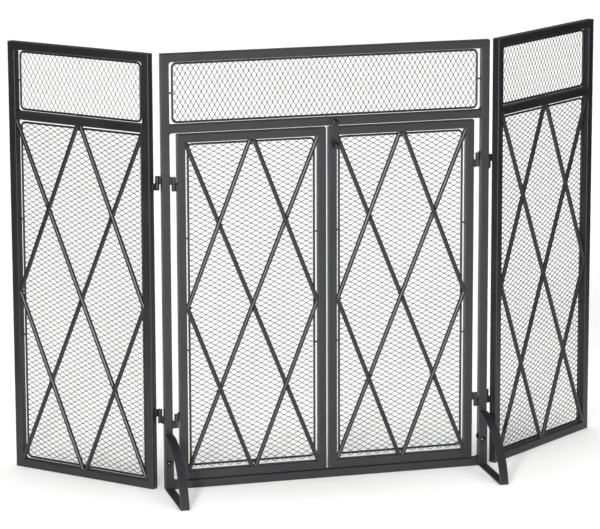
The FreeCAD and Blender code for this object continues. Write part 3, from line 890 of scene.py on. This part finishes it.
class SCREEN_OT_feet(bpy.types.Operator):
    """Build the two feet, each a flat bar bent into a closed loop"""

    bl_idname = "screen.feet"
    bl_label = "Feet"

    def execute(self, context):
        sizes = context.scene.screen_feet
        for side in SIDES:
            name = side + "_foot"
            add_piece(name + "_strap", name, [self.strap(*span(name), sizes)], powder_coat())
        return {"FINISHED"}

    def strap(self, low, high, sizes):
        """The bar's outer line is the upright, an arc to the toe and the floor line, with rounded
        bends. The bar's section, a rounded rectangle, is carried round it just inside."""
        back, top = high[1], high[2]
        toe = back - sizes.reach
        chord = math.hypot(sizes.reach, top)
        radius = (chord**2 / 4 + sizes.bow**2) / (2 * sizes.bow)
        middle = np.array([(back + toe) / 2, top / 2])
        outward_way = np.array([-top, sizes.reach]) / chord
        centre = middle - outward_way * (radius - sizes.bow)
        from_top = math.atan2(top - centre[1], back - centre[0])
        to_toe = math.atan2(0 - centre[1], toe - centre[0])
        angle = np.linspace(from_top, to_toe, 60)
        arc = centre + radius * np.stack([np.cos(angle), np.sin(angle)], 1)
        floor = np.stack([np.linspace(toe, back, 24), np.zeros(24)], 1)
        upright = np.stack([np.full(24, back), np.linspace(0, top, 24)], 1)
        bends = (sizes.toe_radius, sizes.heel_radius, sizes.toe_radius)
        outer = np.maximum(self.joined((arc, floor, upright), bends), (low[1], 0))
        inward = inward_of(outer)
        half = np.array([(high[0] - low[0]) / 2, sizes.thickness / 2])
        outline, edge = rounded_outline(*half, sizes.edge_radius, support=0.1 * MM)
        core = outer + inward * half[1]
        flat = core[:, None] + inward[:, None] * outline[None, :, 1:]
        x = np.broadcast_to((low[0] + high[0]) / 2 + outline[:, 0], flat.shape[:2])
        return skin(np.stack([x, flat[..., 0], flat[..., 1]], -1), loop=True, edge=edge)

    def joined(self, lines, bends):
        """Lines of points end to end in a closed loop. Each corner is replaced, over the length of
        its bend, by the curve that leaves one line and meets the next without a kink."""
        out = []
        for number, line in enumerate(lines):
            following = lines[(number + 1) % len(lines)]
            before, after = bends[number - 1], bends[number]
            run = length_along(line)
            kept = along(line, np.unique(np.clip(run, before, run[-1] - after)))
            leave = along(following, after)
            corner = line[-1]
            share = np.linspace(0, 1, 10)[1:-1, None]
            bend = (1 - share) ** 2 * kept[-1] + 2 * share * (1 - share) * corner + share**2 * leave
            out += [kept, bend]
        return np.concatenate(out)


class SCREEN_OT_screws(bpy.types.Operator):
    """Build the domed screws in the feet and the stiles"""

    bl_idname = "screen.screws"
    bl_label = "Screws"

    def execute(self, context):
        sizes = context.scene.screen_screws
        shells = []
        for side, sign in SIDES.items():
            foot_low, foot_high = span(side + "_foot")
            stile_low, stile_high = span(f"centre_{side}_stile")
            front = foot_high[1] - context.scene.screen_feet.thickness
            middle = (foot_low[0] + foot_high[0]) / 2
            inner = stile_high[0] if sign < 0 else stile_low[0]
            shells.append(self.head((middle, front, sizes.foot_height), (0, -1, 0), sizes))
            shells.append(self.head((inner, 0, sizes.side_height), (-sign, 0, 0), sizes))
        add_piece("foot_screws_heads", "foot_screws", shells, knob_lacquer())
        return {"FINISHED"}

    def head(self, base, axis, sizes):
        """A round head: the height falls from the middle as one less the square of the radius, to
        a short upright rim, with a flat-bottomed round socket in the middle."""
        share = np.array([0.98, 1.0, 0.97, 0.9, 0.8, 0.68, 0.56, 0.44, 0.36])
        dome = (1 - share**2) * sizes.head_height * 0.8 + 0.2 * sizes.head_height
        dome[0] = 0
        profile = list(zip(share * sizes.head_radius, dome))
        socket = dome[-1] - 0.3 * sizes.head_height
        profile += [(0.31 * sizes.head_radius, dome[-1]), (0.28 * sizes.head_radius, socket)]
        profile += [(0.05 * sizes.head_radius, socket - 0.1 * MM)]
        return turned_shape(base, axis, profile, 36)


class SCREEN_OT_latch(bpy.types.Operator):
    """Build the latch: bar, knob, rivet and spacer"""

    bl_idname = "screen.latch"
    bl_label = "Latch"

    def execute(self, context):
        pivot = np.array(joint("latch")["pos_m"])
        low, high = span("latch_bar")
        add_piece("latch_bar_strap", "latch_bar", [self.strap(pivot, low, high)], powder_coat())
        add_piece("latch_knob_ball", "latch_knob", [self.knob(*span("latch_knob"))], knob_lacquer())
        rivet = self.rivet(pivot, *span("latch_rivet"))
        add_piece("latch_rivet_head", "latch_rivet", [rivet], knob_lacquer())
        spacer = self.spacer(pivot, *span("latch_spacer"))
        add_piece("latch_spacer_ring", "latch_spacer", [spacer], powder_coat())
        return {"FINISHED"}

    def strap(self, pivot, low, high):
        """A half circle over the pivot, straight sides and a square end with small corners."""
        half = (high[0] - low[0]) / 2
        turn = np.linspace(0, math.pi, 25)
        cap = np.stack([np.cos(turn), np.sin(turn)], 1) * half + pivot[[0, 2]]
        small = 1.2 * MM
        quarter = np.linspace(0, math.pi / 2, 5)
        rise, run = small * np.sin(quarter), small * np.cos(quarter)
        left = np.stack([low[0] + small - run, low[2] + small - rise], 1)
        right = np.stack([high[0] - small + rise, low[2] + small - run], 1)
        return plate(np.concatenate([cap, left, right]), high[1], low[1], 0.45 * MM)

    def knob(self, low, high):
        """A ball on a short neck: the neck's radius, then the ball's circle from where it leaves
        the neck."""
        radius = (high[2] - low[2]) / 2
        length_out = high[1] - low[1]
        neck = radius * 0.48
        start = math.asin(neck / radius)
        turn = np.linspace(start, math.pi - 0.06, 22)
        centre = length_out - radius
        profile = [(neck * 1.15, 0), (neck, 0.4 * MM), (neck, centre - radius * math.cos(start) - 0.2 * MM)]
        profile += list(zip(radius * np.sin(turn), centre - radius * np.cos(turn)))
        base = ((low[0] + high[0]) / 2, high[1], (low[2] + high[2]) / 2)
        return turned_shape(base, (0, -1, 0), profile, 40)

    def rivet(self, pivot, low, high):
        """A tail dome behind, the shank, and a broad domed head in front of the bar."""
        radius = (high[0] - low[0]) / 2
        front_of_bar = span("latch_bar")[0][1]
        head = front_of_bar - low[1] - RIVET_PLAY
        turn = np.radians(np.linspace(8, 90, 9))
        tail = [(radius * 0.82 * math.sin(a), high[1] - 1.5 * MM * (1 - math.cos(a))) for a in turn]
        shank = [(RIVET_SHANK_RADIUS, tail[-1][1]), (RIVET_SHANK_RADIUS, low[1] + head)]
        front = [(radius * math.sin(a), low[1] + head * (1 - math.cos(a))) for a in turn[::-1]]
        profile = [(r, pivot[1] - y) for r, y in tail + shank + front]
        return turned_shape(pivot, (0, -1, 0), profile, 36)

    def spacer(self, pivot, low, high):
        """A washer: an oblong section with softened corners carried round the rivet."""
        outer = (high[0] - low[0]) / 2
        inner = RIVET_SHANK_RADIUS + RIVET_PLAY
        soft = 0.25 * MM
        section = [
            (inner, high[1]), (outer - soft, high[1]), (outer, high[1] - soft), (outer, low[1] + soft),
            (outer - soft, low[1]), (inner, low[1]),
        ]
        ring = circle(1, 40)
        rings = [
            np.stack([pivot[0] + c * np.array([r for r, _ in section]), np.array([y for _, y in section]),
                      pivot[2] + s * np.array([r for r, _ in section])], 1)
            for c, s in ring
        ]
        return skin(np.array(rings), loop=True)


class SCREEN_OT_stage(bpy.types.Operator):
    """Make the floor, the studio lights, the surroundings and the camera"""

    bl_idname = "screen.stage"
    bl_label = "Stage"

    def execute(self, context):
        self.floor(context.scene.screen_finishes.floor)
        self.lights()
        self.flags()
        self.surroundings()
        self.camera()
        context.scene.view_settings.view_transform = "Standard"
        return {"FINISHED"}

    def floor(self, shade):
        """Pale seamless paper: matt, with a faint grain of 20 mm."""
        half = 14.0
        corners = [(-half, -half, 0), (half, -half, 0), (half, half, 0), (-half, half, 0)]
        mesh = bpy.data.meshes.new("floor")
        mesh.from_pydata(corners, [], [(0, 1, 2, 3)])
        material, tree = new_material("seamless_paper_pale")
        place = node(tree, "ShaderNodeTexCoord").outputs["Object"]
        grain = node(tree, "ShaderNodeTexNoise", {"Vector": place, "Scale": 1 / 0.02, "Detail": 2.0})
        bump = node(
            tree, "ShaderNodeBump", {"Height": grain.outputs["Fac"], "Strength": 0.05, "Distance": 0.2 * MM}
        )
        shader = node(
            tree, "ShaderNodeBsdfPrincipled",
            {"Base Color": (*shade, 1.0), "Roughness": 0.9, "Normal": bump.outputs["Normal"]},
        )
        node(tree, "ShaderNodeOutputMaterial", {"Surface": shader.outputs["BSDF"]})
        mesh.materials.append(material)
        floor = bpy.data.objects.new("floor", mesh)
        bpy.context.scene.collection.objects.link(floor)

    def lights(self):
        """A soft overhead light for the floor, and a softbox beside the camera."""
        overhead = self.light("overhead", "SUN", (0.0, 0.0, 6.0), (0.0, 0.3, 0.0), 3.1)
        overhead.data.angle = math.radians(55)
        overhead.visible_glossy = False
        softbox = self.light("softbox", "AREA", (-2.2, -4.5, 1.0), (0.0, 0.0, 0.4), 210.0)
        softbox.data.size = 0.45

    def light(self, name, kind, place, aim, power):
        data = bpy.data.lights.new(name, kind)
        data.energy = power
        light = bpy.data.objects.new(name, data)
        light.location = place
        light.visible_camera = False
        way = Vector(aim) - Vector(place)
        light.rotation_euler = way.to_track_quat("-Z", "Y").to_euler()
        bpy.context.scene.collection.objects.link(light)
        return light

    def flags(self):
        """Two black cloths at the sides, out of the picture, that darken what the wings mirror."""
        black = coated_steel("black_cloth", linear("0A0A0A"), linear("0A0A0A"), 0.9, 0.01 * MM, 0.0)
        for name, x, y0, y1 in (("left_flag", -1.35, -1.7, 1.0), ("right_flag", 1.4, -0.9, 1.2)):
            mesh = bpy.data.meshes.new(name)
            corners = [(x, y0, 0.002), (x, y1, 0.002), (x, y1, 1.5), (x, y0, 1.5)]
            mesh.from_pydata(corners, [], [(0, 1, 2, 3) if x > 0 else (3, 2, 1, 0)])
            mesh.materials.append(black)
            flag = bpy.data.objects.new(name, mesh)
            flag.visible_camera = False
            bpy.context.scene.collection.objects.link(flag)

    def surroundings(self):
        """White all round at eye level and darker overhead, by the height of the direction."""
        world = bpy.data.worlds.new("studio")
        bpy.context.scene.world = world
        world.use_nodes = True
        tree = world.node_tree
        tree.nodes.clear()
        way = node(tree, "ShaderNodeTexCoord").outputs["Generated"]
        height = node(tree, "ShaderNodeSeparateXYZ", {"Vector": way}).outputs["Z"]
        strength = node(
            tree, "ShaderNodeMapRange",
            {"Value": height, "From Min": 0.0, "From Max": 0.6, "To Min": 0.38, "To Max": 0.2},
        )
        background = node(
            tree, "ShaderNodeBackground",
            {"Color": (1.0, 1.0, 1.0, 1.0), "Strength": strength.outputs["Result"]},
        )
        node(tree, "ShaderNodeOutputWorld", {"Surface": background.outputs["Background"]})

    def camera(self):
        """A long lens from the left front, its sizes in millimetres on the sensor."""
        place = (-1.4365, -5.3548, 1.6915)
        yaw, pitch, roll = (math.radians(a) for a in (14.520, 11.654, -0.181))
        sensor, focal_length, lens_drop = 36.0, 188.208, 4.8
        data = bpy.data.cameras.new("camera")
        data.sensor_width = sensor
        data.lens = focal_length
        data.shift_y = -lens_drop / sensor
        data.clip_end = 100
        camera = bpy.data.objects.new("camera", data)
        turn = Matrix.Rotation(-yaw, 4, "Z") @ Matrix.Rotation(math.pi / 2 - pitch, 4, "X")
        camera.matrix_world = Matrix.Translation(place) @ turn @ Matrix.Rotation(roll, 4, "Z")
        bpy.context.scene.collection.objects.link(camera)
        bpy.context.scene.camera = camera


class SCREEN_PT_panel(bpy.types.Panel):
    """Lists the steps that build the screen"""

    bl_idname = "SCREEN_PT_panel"
    bl_label = "Fireplace Screen"
    bl_space_type = "VIEW_3D"
    bl_region_type = "UI"
    bl_category = "Fire Screen"

    def draw(self, context):
        for operator in OPERATORS:
            self.layout.operator(operator.bl_idname)
        for name, group in SETTINGS.items():
            column = self.layout.column(align=True)
            column.label(text=group.__name__)
            for field in group.__annotations__:
                column.prop(getattr(context.scene, name), field)


OPERATORS = (
    SCREEN_OT_tubes,
    SCREEN_OT_corner_welds,
    SCREEN_OT_wires,
    SCREEN_OT_mesh,
    SCREEN_OT_lattice,
    SCREEN_OT_hinges,
    SCREEN_OT_feet,
    SCREEN_OT_screws,
    SCREEN_OT_latch,
    SCREEN_OT_stage,
)


def register():
    for cls in GROUPS + OPERATORS + (SCREEN_PT_panel,):
        bpy.utils.register_class(cls)
    for name, group in SETTINGS.items():
        setattr(bpy.types.Scene, name, bpy.props.PointerProperty(type=group))


def unregister():
    for name in SETTINGS:
        delattr(bpy.types.Scene, name)
    for cls in reversed(GROUPS + OPERATORS + (SCREEN_PT_panel,)):
        bpy.utils.unregister_class(cls)


def main():
    register()
    for operator in OPERATORS:
        group, name = operator.bl_idname.split(".")
        getattr(getattr(bpy.ops, group), name)()


if __name__ == "__main__":
    main()
